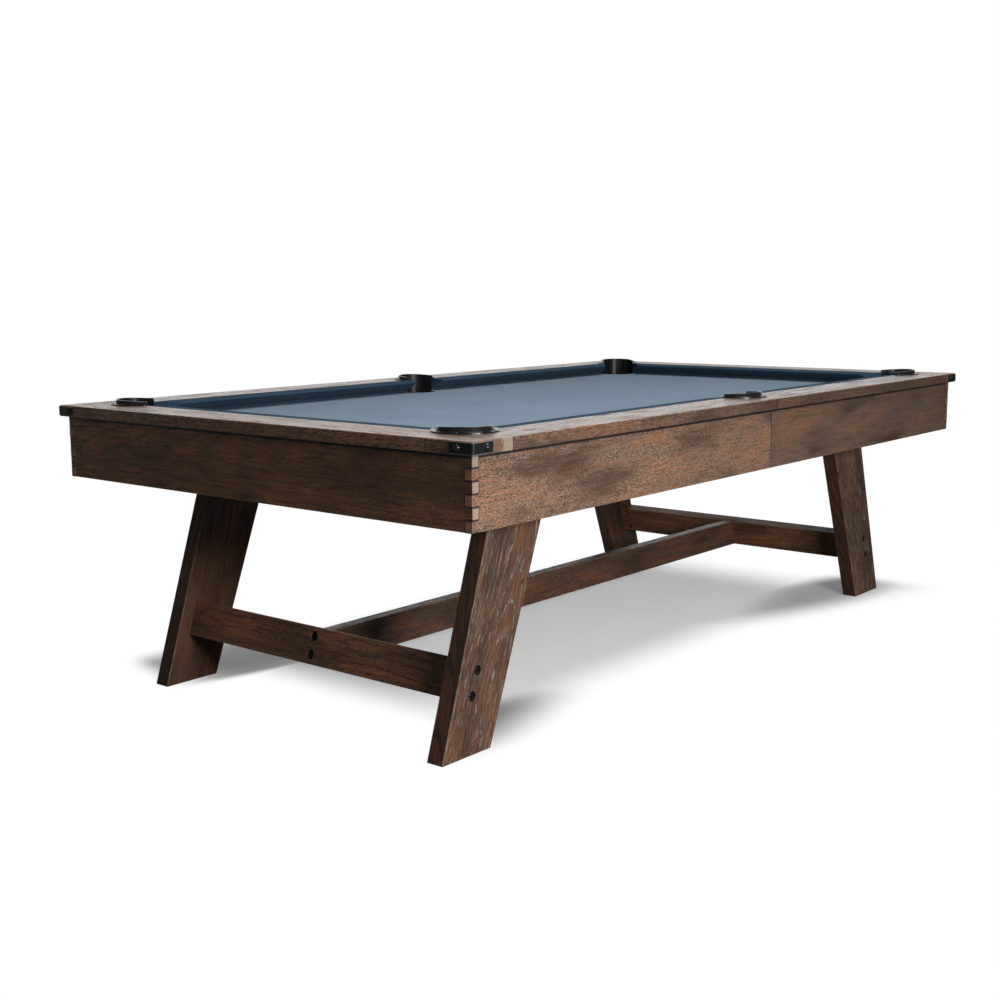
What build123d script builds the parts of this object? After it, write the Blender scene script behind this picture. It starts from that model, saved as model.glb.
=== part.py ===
from build123d import *
import os
from math import atan2, cos, degrees, radians, sin, sqrt, tan

# Pool table with six drop pockets, on splayed plank legs, in millimetres.
# X runs along the table, Y across it and Z up from the floor, under the middle of the bed.
# Left and right are the -X and +X ends, front and rear the -Y and +Y sides.
ENDS = {"left": -1, "right": 1}
SIDES = {"front": -1, "rear": 1}

# Playing surface between the cushion noses, and its cloth and slate
play_length = 2235.0
play_width = 1118.0
bed_height = 733.0
cloth_thickness = 1.0
slate_thickness = 25.0
slate_names = ("left", "centre", "right")

# Wooden rails
rail_width = 130.0
rail_rise = 41.0
rail_edge = 30.0
rail_overhang = 17.0
rail_round = 2.5
rail_corner_round = 4.0

# Cushions, with the cloth held by a feather strip in a groove of the rail
cushion_width = 48.0
cushion_fall = 2.0
nose_height = 36.0
nose_round = 5.0
nose_drop = 4.0
toe_height = 7.0
feather_width = 6.0
feather_depth = 5.0

# Pockets: a bucket below the bed, and a wall with a lip and a flange on the rail
pocket_radius = 57.0
pocket_wall = 5.0
pocket_depth = 126.0
bucket_round = 26.0
rim_drop = 2.0
lip_rise = 15.0
lip_fall = 5.0
lip_spread = 4.0
lip_round = 1.5
flange_radius = 76.0
flange_edge = 2.6
flange_slope = 1.6
flange_tip_round = 9.0
corner_mouth = 130.0
corner_setback = 37.0
corner_arm = 28.0
side_mouth = 128.0
side_setback = 57.0
side_arm = 10.0

# Screws through the pocket flange
pocket_screw_angles = (-60.0, -20.0, 20.0, 60.0)
pocket_screw_head = 7.0
pocket_screw_head_height = 2.0
pocket_screw_shank = 4.0
pocket_screw_length = 22.0
pocket_screw_seat = 3.0

# Cabinet boards with finger joints at the corners
apron_thickness = 20.0
apron_height = 165.0
finger_count = 6
finger_proud = 0.8
finger_ease = 0.7
apron_round = 2.0
splice_length = 170.0
splice_height = 110.0
splice_thickness = 18.0

# Frame under the slates
beam_thickness = 40.0
beam_height = 100.0

# Legs
leg_foot_width = 173.0
leg_top_width = 213.0
leg_thickness = 49.0
leg_lean = 19.3
leg_end_inset = 104.5
leg_side_inset = 188.0
leg_ease = 2.5

# Stretchers, leaning with the legs at the ends
end_stretcher_width = 97.0
centre_stretcher_width = 88.0
stretcher_thickness = 38.0
stretcher_height = 172.0
stretcher_setback = 42.0
stretcher_ease = 2.0

# Recessed socket-head bolts and their barrel nuts
bolt_shank = 8.0
bolt_head = 16.0
bolt_head_height = 8.0
bolt_head_ease = 0.8
bolt_socket = 8.0
bolt_socket_depth = 5.0
bolt_recess = 24.0
bolt_recess_depth = 10.0
bolt_bite = 48.0
leg_bolt_pitch = 62.0
centre_bolt_pitch = 46.0
barrel_diameter = 12.0
barrel_length = 22.0
barrel_setback = 34.0

# Carriage bolts that hold the legs to the frame
carriage_shank = 10.0
carriage_head = 22.0
carriage_head_height = 5.0
carriage_tail = 4.0
carriage_nut = 17.0
carriage_nut_height = 8.0
carriage_pitch = 84.0

# Bolts that hold the rails, up through the slate
rail_bolt_count = 3
rail_bolt_inset = 20.0
rail_bolt_shank = 8.0
rail_bolt_washer = 22.0
rail_bolt_washer_thickness = 2.0
rail_bolt_head = 13.0
rail_bolt_head_height = 5.5
rail_bolt_bite = 24.0

# Metal straps around the rail corners
strap_length = 62.0
strap_height = 25.0
strap_thickness = 2.5
strap_bolt_inset = 44.0
strap_bolt_head = 18.0
strap_bolt_head_height = 6.0
strap_bolt_shank = 8.0
strap_bolt_length = 36.0

# Levelling feet in the legs
leveller_travel = 20.0
leveller_pad = 34.0
leveller_pad_height = 8.0
leveller_pad_ease = 1.5
leveller_rest = 0.8
leveller_stem = 10.0
leveller_spare = 14.0
insert_diameter = 15.0
insert_depth = 22.0
insert_flange = 30.0
insert_flange_thickness = 2.0

# Clearances
seam_gap = 0.8
finger_gap = 0.5
lap_gap = 0.4
slate_gap = 0.5
slate_edge_gap = 4.0
pocket_gap = 0.6
flange_gap = 0.3
apron_gap = 1.0
leg_top_gap = 5.0
hole_gap = 0.5
strap_gap = 0.5
leveller_gap = 0.8
thread_gap = 0.1
splice_gap = 4.0
cut_over = 2.0

# Heights that follow from the driving sizes
rail_top = bed_height + rail_rise
rail_under = rail_top - rail_edge
slate_top = bed_height - cloth_thickness
slate_under = slate_top - slate_thickness
apron_bottom = rail_under - apron_height
beam_bottom = slate_under - beam_height
bucket_bottom = bed_height - pocket_depth
bucket_rim = slate_top - rim_drop

# Plan sizes, as half lengths and half widths
rail_inner_x = play_length / 2 + cushion_width
rail_inner_y = play_width / 2 + cushion_width
table_x = rail_inner_x + rail_width
table_y = rail_inner_y + rail_width
cabinet_x = table_x - rail_overhang
cabinet_y = table_y - rail_overhang
inside_x = cabinet_x - apron_thickness
inside_y = cabinet_y - apron_thickness
slate_x = inside_x - slate_edge_gap
slate_y = inside_y - slate_edge_gap
slate_pitch = 2 * slate_x / len(slate_names)

# Rail section, measured outward from the nose line
rail_outer = cushion_width + rail_width
rail_step = rail_outer - rail_overhang - apron_thickness - apron_gap
groove_end = cushion_width + feather_width

# Legs and stretchers
lean = radians(leg_lean)
leg_top = slate_under - leg_top_gap
leg_foot_x = cabinet_x - leg_end_inset - leg_foot_width / 2
leg_top_x = leg_foot_x - leg_top * tan(lean)
leg_outer_y = cabinet_y - leg_side_inset
leg_mid_y = leg_outer_y - leg_thickness / 2
leg_inner_y = leg_outer_y - leg_thickness
leg_edge_foot = leg_foot_x + leg_foot_width / 2
leg_edge_top = leg_top_x + leg_top_width / 2
leg_edge_x = leg_edge_foot + (leg_edge_top - leg_edge_foot) * stretcher_height / leg_top
stretcher_x = leg_edge_x - stretcher_setback - stretcher_thickness / 2 / cos(lean)
beam_y = leg_inner_y - beam_thickness / 2
beam_middle = slate_under - beam_height / 2

# Holes
bolt_hole = bolt_shank + hole_gap
barrel_hole = barrel_diameter + hole_gap
carriage_hole = carriage_shank + hole_gap
strap_bolt_hole = strap_bolt_shank + hole_gap
rail_bolt_hole = rail_bolt_shank + hole_gap
slate_bolt_hole = rail_bolt_shank + 2 * hole_gap
pocket_screw_hole = pocket_screw_shank + hole_gap
pocket_head_hole = pocket_screw_head + 2 * hole_gap
insert_hole = insert_diameter + hole_gap
leveller_bore = leveller_stem + leveller_gap
thread_bore = leveller_stem + thread_gap
leveller_recess = leveller_pad + 2 * leveller_gap
leveller_top = leveller_rest + leveller_pad_height
leveller_stem_length = leveller_travel + insert_depth + leveller_spare
leveller_recess_depth = leveller_top + leveller_gap + insert_flange_thickness

os.makedirs("parts", exist_ok=True)


def keep(piece, node):
    """Label a finished piece and write it under its node's name."""
    piece.part.label = node
    export_step(piece.part, f"parts/{node}.step")


def slab(x_span, y_span, z_span, mode=Mode.ADD):
    """Box between two values on each axis, given in any order."""
    spans = (x_span, y_span, z_span)
    with Locations(tuple((a + b) / 2 for a, b in spans)):
        Box(*(abs(b - a) for a, b in spans), mode=mode)


def bar(diameter, start, end, mode=Mode.ADD):
    """Round bar or bore on the Z axis between two heights."""
    with Locations((0, 0, (start + end) / 2)):
        Cylinder(diameter / 2, abs(end - start), mode=mode)


def domed_pin(head, head_height, shank, length):
    """Pin along Z with its domed head above the origin and its shank below."""
    ball = (head ** 2 / 4 + head_height ** 2) / (2 * head_height)
    with BuildPart() as pin:
        with BuildSketch(Plane.XZ):
            with BuildLine():
                Polyline((0, head_height), (0, -length), (shank / 2, -length), (shank / 2, 0), (head / 2, 0))
                RadiusArc((head / 2, 0), (0, head_height), -ball)
            make_face()
        revolve(axis=Axis.Z)
    return pin.part


def end_plane(sx):
    """Middle plane of an end stretcher: local X across the table, local Y up along the board."""
    return Plane((sx * stretcher_x, 0, stretcher_height), (0, sx, 0), (sx * cos(lean), 0, sin(lean)))


def leg_bolt_places(sx, sy):
    """Planes of the two bolts in a leg's outer face, facing out."""
    middle = end_plane(sx)
    rises = (-leg_bolt_pitch / 2, leg_bolt_pitch / 2)
    spots = [middle.origin + middle.y_dir * rise for rise in rises]
    return [Plane((spot.X, sy * leg_outer_y, spot.Z), middle.y_dir, (0, sy, 0)) for spot in spots]


def centre_bolt_places(sx):
    """Planes of the two bolts in an end stretcher's outer face, facing out."""
    face = end_plane(sx).offset(stretcher_thickness / 2)
    rises = (-centre_bolt_pitch / 2, centre_bolt_pitch / 2)
    return [Plane(face.origin + face.y_dir * rise, face.y_dir, face.z_dir) for rise in rises]


def barrel_places(bolts, joint, facing):
    """Planes of the barrel nuts of some bolts, a set distance past the joint, facing their hole's mouth."""
    reach = joint + barrel_setback
    return [Plane(bolt.origin - bolt.z_dir * reach, bolt.z_dir, facing) for bolt in bolts]


def leg_barrel_places(sx, sy):
    """Planes of the barrel nuts in an end stretcher's end, with their holes on its inner face."""
    return barrel_places(leg_bolt_places(sx, sy), leg_thickness, -end_plane(sx).z_dir)


def centre_barrel_places(sx):
    """Planes of the barrel nuts in the centre stretcher's end, with their holes at the rear."""
    return barrel_places(centre_bolt_places(sx), stretcher_thickness, (0, 1, 0))


def carriage_places(sx, sy):
    """Planes of the two carriage bolts at a leg's top, facing out."""
    middle_x = leg_foot_x - beam_middle * tan(lean)
    shifts = (-carriage_pitch / 2, carriage_pitch / 2)
    spots = [(sx * (middle_x + shift), sy * leg_outer_y, beam_middle) for shift in shifts]
    return [Plane(spot, (1, 0, 0), (0, sy, 0)) for spot in spots]


def foot_place(sx, sy):
    """Plane of a levelling foot on the floor."""
    return Plane((sx * leg_foot_x, sy * leg_mid_y, 0))


corners = [(sx, sy) for sx in ENDS.values() for sy in SIDES.values()]

# Legs, each with its bolt holes and the bore of its levelling foot
for end, sx in ENDS.items():
    for side, sy in SIDES.items():
        with BuildPart() as leg:
            with BuildSketch(Plane.XZ.offset(-sy * leg_mid_y)):
                Polygon(
                    (sx * (leg_foot_x - leg_foot_width / 2), 0),
                    (sx * (leg_foot_x + leg_foot_width / 2), 0),
                    (sx * (leg_top_x + leg_top_width / 2), leg_top),
                    (sx * (leg_top_x - leg_top_width / 2), leg_top),
                    align=None,
                )
            extrude(amount=leg_thickness / 2, both=True)
            fillet(leg.edges(), leg_ease)
            with Locations(*leg_bolt_places(sx, sy)):
                CounterBoreHole(bolt_hole / 2, bolt_recess / 2, bolt_recess_depth, leg_thickness + cut_over)
            with Locations(*carriage_places(sx, sy)):
                Hole(carriage_hole / 2, leg_thickness + cut_over)
            with Locations(foot_place(sx, sy)):
                bar(leveller_recess, 0, leveller_recess_depth, Mode.SUBTRACT)
                bar(insert_hole, 0, leveller_recess_depth + insert_depth, Mode.SUBTRACT)
                bar(leveller_bore, 0, leveller_top + leveller_stem_length + leveller_gap, Mode.SUBTRACT)
        keep(leg, f"leg_{side}_{end}")

        with BuildPart() as leveller:
            with Locations(foot_place(sx, sy)):
                bar(leveller_pad, leveller_rest, leveller_top)
                chamfer(leveller.edges(), leveller_pad_ease)
                bar(leveller_stem, leveller_top, leveller_top + leveller_stem_length)
        keep(leveller, f"leveller_{side}_{end}")

# Threaded inserts that the levelling feet screw into
with BuildPart() as leveller_inserts:
    insert_start = leveller_recess_depth - insert_flange_thickness
    insert_end = leveller_recess_depth + insert_depth
    with Locations(*(foot_place(sx, sy) for sx, sy in corners)):
        bar(insert_flange, insert_start, leveller_recess_depth)
        bar(insert_diameter, insert_start, insert_end)
        bar(thread_bore, insert_start, insert_end, Mode.SUBTRACT)
keep(leveller_inserts, "leveller_inserts")

# End stretchers, leaning with the legs
for end, sx in ENDS.items():
    with BuildPart() as end_stretcher:
        with BuildSketch(end_plane(sx)):
            Rectangle(2 * leg_inner_y, end_stretcher_width)
        extrude(amount=stretcher_thickness / 2, both=True)
        fillet(end_stretcher.edges().filter_by(Axis.Y), stretcher_ease)
        for sy in SIDES.values():
            with Locations(*leg_bolt_places(sx, sy)):
                Hole(bolt_hole / 2, leg_thickness + bolt_bite + cut_over)
            mouths = [place.offset(stretcher_thickness / 2) for place in leg_barrel_places(sx, sy)]
            with Locations(*mouths):
                Hole(barrel_hole / 2, (stretcher_thickness + barrel_length) / 2)
        with Locations(*centre_bolt_places(sx)):
            CounterBoreHole(bolt_hole / 2, bolt_recess / 2, bolt_recess_depth, stretcher_thickness + cut_over)
    keep(end_stretcher, f"end_stretcher_{end}")


def centre_end_x(height):
    """End of the centre stretcher at a height, on the inner face of the leaning end stretcher."""
    return stretcher_x - (stretcher_thickness / 2 + (height - stretcher_height) * sin(lean)) / cos(lean)


# Centre stretcher between the end stretchers
with BuildPart() as centre_stretcher:
    middle_z = stretcher_height - stretcher_thickness / 2 * sin(lean)
    low_z = middle_z - centre_stretcher_width / 2
    high_z = middle_z + centre_stretcher_width / 2
    with BuildSketch(Plane.XZ):
        Polygon(
            (-centre_end_x(low_z), low_z),
            (centre_end_x(low_z), low_z),
            (centre_end_x(high_z), high_z),
            (-centre_end_x(high_z), high_z),
            align=None,
        )
    extrude(amount=stretcher_thickness / 2, both=True)
    fillet(centre_stretcher.edges().filter_by(Axis.X), stretcher_ease)
    for sx in ENDS.values():
        with Locations(*centre_bolt_places(sx)):
            Hole(bolt_hole / 2, stretcher_thickness + bolt_bite + cut_over)
        mouths = [place.offset(stretcher_thickness / 2) for place in centre_barrel_places(sx)]
        with Locations(*mouths):
            Hole(barrel_hole / 2, (stretcher_thickness + barrel_length) / 2)
keep(centre_stretcher, "centre_stretcher")


def socket_bolt(joint):
    """Socket-head bolt along Z, with its head in a recess below the origin."""
    seat = -bolt_recess_depth
    top = seat + bolt_head_height
    with BuildPart() as bolt:
        bar(bolt_head, seat, top)
        chamfer(bolt.edges().group_by(Axis.Z)[-1], bolt_head_ease)
        bar(bolt_shank, -joint - bolt_bite, seat)
        with BuildSketch(Plane.XY.offset(top)):
            RegularPolygon(bolt_socket / 2, 6, major_radius=False)
        extrude(amount=-bolt_socket_depth, mode=Mode.SUBTRACT)
    return bolt.part


leg_bolt_shape = socket_bolt(leg_thickness)
centre_bolt_shape = socket_bolt(stretcher_thickness)

with BuildPart() as stretcher_bolts:
    with Locations(*(place for sx, sy in corners for place in leg_bolt_places(sx, sy))):
        add(leg_bolt_shape)
    with Locations(*(place for sx in ENDS.values() for place in centre_bolt_places(sx))):
        add(centre_bolt_shape)
keep(stretcher_bolts, "stretcher_bolts")

# Barrel nut along Z, with its cross hole along X
with BuildPart() as barrel_nut:
    bar(barrel_diameter, -barrel_length / 2, barrel_length / 2)
    with Locations(Plane.YZ.offset(barrel_diameter)):
        Hole(bolt_hole / 2, 2 * barrel_diameter)

with BuildPart() as barrel_nuts:
    with Locations(*(place for sx, sy in corners for place in leg_barrel_places(sx, sy))):
        add(barrel_nut.part)
    with Locations(*(place for sx in ENDS.values() for place in centre_barrel_places(sx))):
        add(barrel_nut.part)
keep(barrel_nuts, "barrel_nuts")

# Carriage bolt along Z through a leg and a long beam, with its nut
carriage_grip = leg_thickness + beam_thickness
carriage_length = carriage_grip + carriage_nut_height + carriage_tail
with BuildPart() as carriage_bolt:
    add(domed_pin(carriage_head, carriage_head_height, carriage_shank, carriage_length))
    with BuildSketch(Plane.XY.offset(-carriage_grip)):
        RegularPolygon(carriage_nut / 2, 6, major_radius=False)
    extrude(amount=-carriage_nut_height)

with BuildPart() as leg_bolts:
    with Locations(*(place for sx, sy in corners for place in carriage_places(sx, sy))):
        add(carriage_bolt.part)
keep(leg_bolts, "leg_bolts")

# Long beams and cross beams, halved into each other
end_beam_x = inside_x - beam_thickness / 2
cross_places = (-end_beam_x, -slate_pitch / 2, slate_pitch / 2, end_beam_x)
lap_width = beam_thickness / 2 + lap_gap / 2

for side, sy in SIDES.items():
    with BuildPart() as long_beam:
        y_span = (sy * (leg_inner_y - beam_thickness), sy * leg_inner_y)
        slab((-inside_x, inside_x), y_span, (beam_bottom, slate_under))
        for x in cross_places:
            slab((x - lap_width, x + lap_width), y_span, (beam_bottom, beam_middle), Mode.SUBTRACT)
        for sx in ENDS.values():
            with Locations(*carriage_places(sx, sy)):
                Hole(carriage_hole / 2, carriage_grip + cut_over)
    keep(long_beam, f"long_beam_{side}")

for number, x in enumerate(cross_places, 1):
    with BuildPart() as cross_beam:
        x_span = (x - beam_thickness / 2, x + beam_thickness / 2)
        slab(x_span, (-inside_y, inside_y), (beam_bottom, slate_under))
        for sy in SIDES.values():
            y_span = (sy * beam_y - lap_width, sy * beam_y + lap_width)
            slab(x_span, y_span, (beam_middle - lap_gap, slate_under), Mode.SUBTRACT)
    keep(cross_beam, f"cross_beam_{number}")

# Finger joints: counted from the top, odd fingers belong to the end boards
finger_height = apron_height / finger_count


def fingers(first):
    """Heights of every second finger of a corner, from the given one down, less the joint's gap."""
    spans = []
    for number in range(first, finger_count, 2):
        top = rail_under - number * finger_height
        bottom = top - finger_height
        low = bottom if number == finger_count - 1 else bottom + finger_gap / 2
        high = top if number == 0 else top - finger_gap / 2
        spans.append((low, high))
    return spans


for end, sx in ENDS.items():
    with BuildPart() as apron:
        x_span = (sx * inside_x, sx * cabinet_x)
        slab(x_span, (-inside_y, inside_y), (apron_bottom, rail_under))
        lower = apron.edges().filter_by(Axis.Y).group_by(Axis.Z)[0]
        fillet(lower.sort_by(Axis.X)[-1 if sx > 0 else 0], apron_round)
        for z_span in fingers(0):
            slab(x_span, (-cabinet_y - finger_proud, cabinet_y + finger_proud), z_span)
        tips = apron.faces().group_by(Axis.Y)
        chamfer(tips[0].edges() + tips[-1].edges(), finger_ease)
    keep(apron, f"apron_{end}")

    for side, sy in SIDES.items():
        with BuildPart() as side_apron:
            y_span = (sy * inside_y, sy * cabinet_y)
            slab((sx * seam_gap / 2, sx * inside_x), y_span, (apron_bottom, rail_under))
            for z_span in fingers(1):
                slab((sx * seam_gap / 2, sx * (cabinet_x + finger_proud)), y_span, z_span)
            tips = side_apron.faces().group_by(Axis.X)
            chamfer(tips[-1 if sx > 0 else 0].edges(), finger_ease)
            lower = side_apron.edges().filter_by(Axis.X).group_by(Axis.Z)[0]
            fillet(lower.sort_by(Axis.Y)[-1 if sy > 0 else 0], apron_round)
        keep(side_apron, f"apron_{side}_{end}")

# Plates behind the seams of the side boards
with BuildPart() as apron_splices:
    splice_top = slate_under - splice_gap
    for sy in SIDES.values():
        slab(
            (-splice_length / 2, splice_length / 2),
            (sy * (inside_y - splice_thickness), sy * inside_y),
            (splice_top - splice_height, splice_top),
        )
keep(apron_splices, "apron_splices")


class Pocket:
    """Place and mouth of one pocket, with local X pointing outward from the table."""

    def __init__(self, x, y, out_x, out_y, nose_distance, mouth, arm):
        self.spot = Location((x, y, 0), (0, 0, degrees(atan2(out_y, out_x))))
        self.nose_distance = nose_distance
        self.mouth = mouth
        self.arm = arm


shift = corner_setback / sqrt(2)
corner_x = play_length / 2 + shift
corner_y = play_width / 2 + shift
side_y = play_width / 2 + side_setback
corner_nose = corner_setback + corner_mouth / 2
pockets = {}
for side, sy in SIDES.items():
    pockets[f"{side}_middle"] = Pocket(0, sy * side_y, 0, sy, side_setback, side_mouth, side_arm)
    for end, sx in ENDS.items():
        corner = (sx * corner_x, sy * corner_y, sx, sy)
        pockets[f"{side}_{end}"] = Pocket(*corner, corner_nose, corner_mouth, corner_arm)

# Plan places of the flange screws around a pocket
screw_ring = (pocket_radius + pocket_wall + lip_spread + flange_radius) / 2
screw_turns = [radians(angle) for angle in pocket_screw_angles]
screw_spots = [(screw_ring * cos(turn), screw_ring * sin(turn)) for turn in screw_turns]


def pocket_cutter(low, high, growth, with_arms=False, with_mouth=False):
    """Every pocket's plan between two heights, to be cut out of a piece."""
    radius = pocket_radius + growth
    skin = growth - pocket_wall - pocket_gap
    with BuildPart() as cutter:
        with BuildSketch(Plane.XY.offset(low)):
            for pocket in pockets.values():
                with Locations(pocket.spot):
                    Circle(radius)
                    if with_arms:
                        with Locations((-pocket.arm / 2, 0)):
                            Rectangle(pocket.arm, 2 * radius)
                    if with_mouth:
                        flare = pocket.mouth / 2 - pocket_radius
                        reach = 2 * pocket.nose_distance - pocket.arm
                        near = pocket_radius + skin
                        far = pocket.mouth / 2 + flare + skin
                        outline = [(0, near), (-pocket.arm, near), (-reach, far)]
                        Polygon(*outline, *((x, -y) for x, y in reversed(outline)), align=None)
        extrude(amount=high - low)
    return cutter.part


# Bolts that hold each rail down
rail_bolt_spots = []
for sx in ENDS.values():
    for number in range(rail_bolt_count):
        across = (number - (rail_bolt_count - 1) / 2) * play_width / rail_bolt_count
        along = sx * (number + 0.5) * play_length / 2 / rail_bolt_count
        rail_bolt_spots.append((sx * (rail_inner_x + rail_bolt_inset), across))
        for sy in SIDES.values():
            rail_bolt_spots.append((along, sy * (rail_inner_y + rail_bolt_inset)))


def rail_bolt_cutter(low, high, diameter):
    """Every rail bolt's hole between two heights, to be cut out of a piece."""
    with BuildPart() as cutter:
        with BuildSketch(Plane.XY.offset(low)):
            with Locations(*rail_bolt_spots):
                Circle(diameter / 2)
        extrude(amount=high - low)
    return cutter.part


# What is cut out of the slates and the bed cloth
pocket_hole = pocket_wall + pocket_gap
bed_cuts = (
    pocket_cutter(slate_under, bed_height, pocket_hole),
    rail_bolt_cutter(slate_under, bed_height, slate_bolt_hole),
)

# Slates, joined over the inner cross beams
for number, name in enumerate(slate_names):
    with BuildPart() as slate:
        start = -slate_x + number * slate_pitch
        x_span = (start + slate_gap / 2, start + slate_pitch - slate_gap / 2)
        slab(x_span, (-slate_y, slate_y), (slate_under, slate_top))
        add(bed_cuts, mode=Mode.SUBTRACT)
    keep(slate, f"slate_{name}")

with BuildPart() as bed_cloth:
    slab((-slate_x, slate_x), (-slate_y, slate_y), (slate_top, bed_height))
    add(bed_cuts, mode=Mode.SUBTRACT)
keep(bed_cloth, "bed_cloth")


def rail_plane(x, y, out_x, out_y):
    """Plane across a rail on the bed's height: local X outward from the nose line, local Y up."""
    return Plane((x, y, bed_height), (out_x, out_y, 0), (out_y, -out_x, 0))


# Every rail's section plane at the middle of its length, and the lengths of its wood and cushion
rail_runs = {}
for end, sx in ENDS.items():
    end_wood = 2 * (rail_inner_y - seam_gap)
    end_rail = rail_plane(sx * play_length / 2, 0, sx, 0)
    rail_runs[end] = (end_rail, end_wood, end_rail, 2 * corner_y)
    for side, sy in SIDES.items():
        wood_start = seam_gap / 2
        wood_end = rail_inner_x - seam_gap
        nose_y = sy * play_width / 2
        rail_runs[f"{side}_{end}"] = (
            rail_plane(sx * (wood_start + wood_end) / 2, nose_y, 0, sy),
            wood_end - wood_start,
            rail_plane(sx * corner_x / 2, nose_y, 0, sy),
            corner_x,
        )


def cushion_outline(skin):
    """Closed outline of the cushion, drawn in by the cloth's thickness."""
    top_back = (cushion_width, rail_rise - skin)
    top_front = (nose_round, rail_rise - cushion_fall - skin)
    under_front = (nose_round / 2 + skin, nose_height - nose_drop)
    toe = (cushion_width, toe_height + skin)
    Line(top_back, top_front)
    ThreePointArc(top_front, (skin, nose_height), under_front)
    Polyline(under_front, toe, top_back)


# Pilot holes of the flange screws, down into the rails
with BuildPart() as screw_pilots:
    with BuildSketch(Plane.XY.offset(rail_top)):
        for pocket in pockets.values():
            with Locations(pocket.spot):
                with Locations(*screw_spots):
                    Circle(pocket_screw_hole / 2)
    extrude(amount=pocket_screw_seat - pocket_screw_length - hole_gap)

# What is cut out of the rails and corner blocks, the cushions and their cloths
wood_pockets = pocket_cutter(bed_height, rail_top, pocket_hole, with_arms=True)
wood_cuts = (
    wood_pockets,
    rail_bolt_cutter(bed_height, bed_height + rail_bolt_bite + hole_gap, rail_bolt_hole),
    screw_pilots.part,
)
cloth_pockets = pocket_cutter(bed_height, rail_top, pocket_hole, with_arms=True, with_mouth=True)
rubber_hole = pocket_hole + cloth_thickness
rubber_pockets = pocket_cutter(bed_height, rail_top, rubber_hole, with_arms=True, with_mouth=True)

rail_cloths = []
feather_strips = []
for name, (wood_plane, wood_length, cushion_plane, cushion_length) in rail_runs.items():
    with BuildPart() as rail:
        with BuildSketch(wood_plane) as rail_section:
            with BuildLine():
                Polyline(
                    (cushion_width, 0),
                    (rail_step, 0),
                    (rail_step, rail_rise - rail_edge),
                    (rail_outer, rail_rise - rail_edge),
                    (rail_outer, rail_rise),
                    (groove_end, rail_rise),
                    (groove_end, rail_rise - feather_depth),
                    (cushion_width, rail_rise - feather_depth),
                    close=True,
                )
            make_face()
            fillet(rail_section.vertices().group_by(Axis.X)[-1], rail_round)
        extrude(amount=wood_length / 2, both=True)
        add(wood_cuts, mode=Mode.SUBTRACT)
    keep(rail, f"rail_{name}")

    with BuildPart() as cushion:
        with BuildSketch(cushion_plane):
            with BuildLine():
                cushion_outline(cloth_thickness)
            make_face()
        extrude(amount=cushion_length / 2, both=True)
        add(rubber_pockets, mode=Mode.SUBTRACT)
    keep(cushion, f"cushion_{name}")

    with BuildPart() as feather_strip:
        with BuildSketch(cushion_plane):
            with BuildLine():
                Polyline(
                    (cushion_width, rail_rise - feather_depth),
                    (groove_end, rail_rise - feather_depth),
                    (groove_end, rail_rise - cloth_thickness),
                    (cushion_width, rail_rise - cloth_thickness),
                    close=True,
                )
            make_face()
        extrude(amount=cushion_length / 2, both=True)
        add(wood_pockets, mode=Mode.SUBTRACT)
    feather_strips.append(feather_strip.part)

    with BuildPart() as rail_cloth:
        with BuildSketch(cushion_plane):
            with BuildLine():
                cushion_outline(0)
            make_face()
            with BuildLine():
                Polyline(
                    (cushion_width, rail_rise - cloth_thickness),
                    (groove_end, rail_rise - cloth_thickness),
                    (groove_end, rail_rise),
                    (cushion_width, rail_rise),
                    close=True,
                )
            make_face()
        extrude(amount=cushion_length / 2, both=True)
        add(cloth_pockets, mode=Mode.SUBTRACT)
        add(cushion.part, mode=Mode.SUBTRACT)
    rail_cloths.append(rail_cloth.part)

for node, strips in (("rail_cloths", rail_cloths), ("feather_strips", feather_strips)):
    with BuildPart() as group:
        add(strips)
    keep(group, node)

# Corner blocks between the rail ends, with the holes of the strap bolts
strap_z = rail_top - rail_edge / 2


def strap_places(sx, sy):
    """Planes of a strap's two bolts on its outer faces, facing out."""
    end_spot = (sx * (table_x + strap_thickness), sy * (table_y - strap_bolt_inset), strap_z)
    side_spot = (sx * (table_x - strap_bolt_inset), sy * (table_y + strap_thickness), strap_z)
    return Plane(end_spot, (0, 0, 1), (sx, 0, 0)), Plane(side_spot, (0, 0, 1), (0, sy, 0))


for end, sx in ENDS.items():
    for side, sy in SIDES.items():
        with BuildPart() as corner_block:
            slab((sx * rail_inner_x, sx * table_x), (sy * rail_inner_y, sy * table_y), (rail_under, rail_top))
            corner = (sx * table_x, sy * table_y, strap_z)
            fillet(corner_block.edges().filter_by(Axis.Z).sort_by_distance(corner)[0], rail_corner_round)
            outer_edges = [
                edge
                for level in (0, -1)
                for edge in corner_block.edges().group_by(Axis.Z)[level]
                if max(abs(edge.center().X) - rail_inner_x, abs(edge.center().Y) - rail_inner_y)
                > rail_width - rail_corner_round
            ]
            fillet(outer_edges, rail_round)
            step_x = play_length / 2 + rail_step
            step_y = play_width / 2 + rail_step
            slab((sx * rail_inner_x, sx * step_x), (sy * rail_inner_y, sy * step_y), (bed_height, rail_under))
            add(wood_cuts, mode=Mode.SUBTRACT)
            with Locations(*strap_places(sx, sy)):
                Hole(strap_bolt_hole / 2, strap_bolt_length + hole_gap)
        keep(corner_block, f"corner_block_{side}_{end}")

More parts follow.
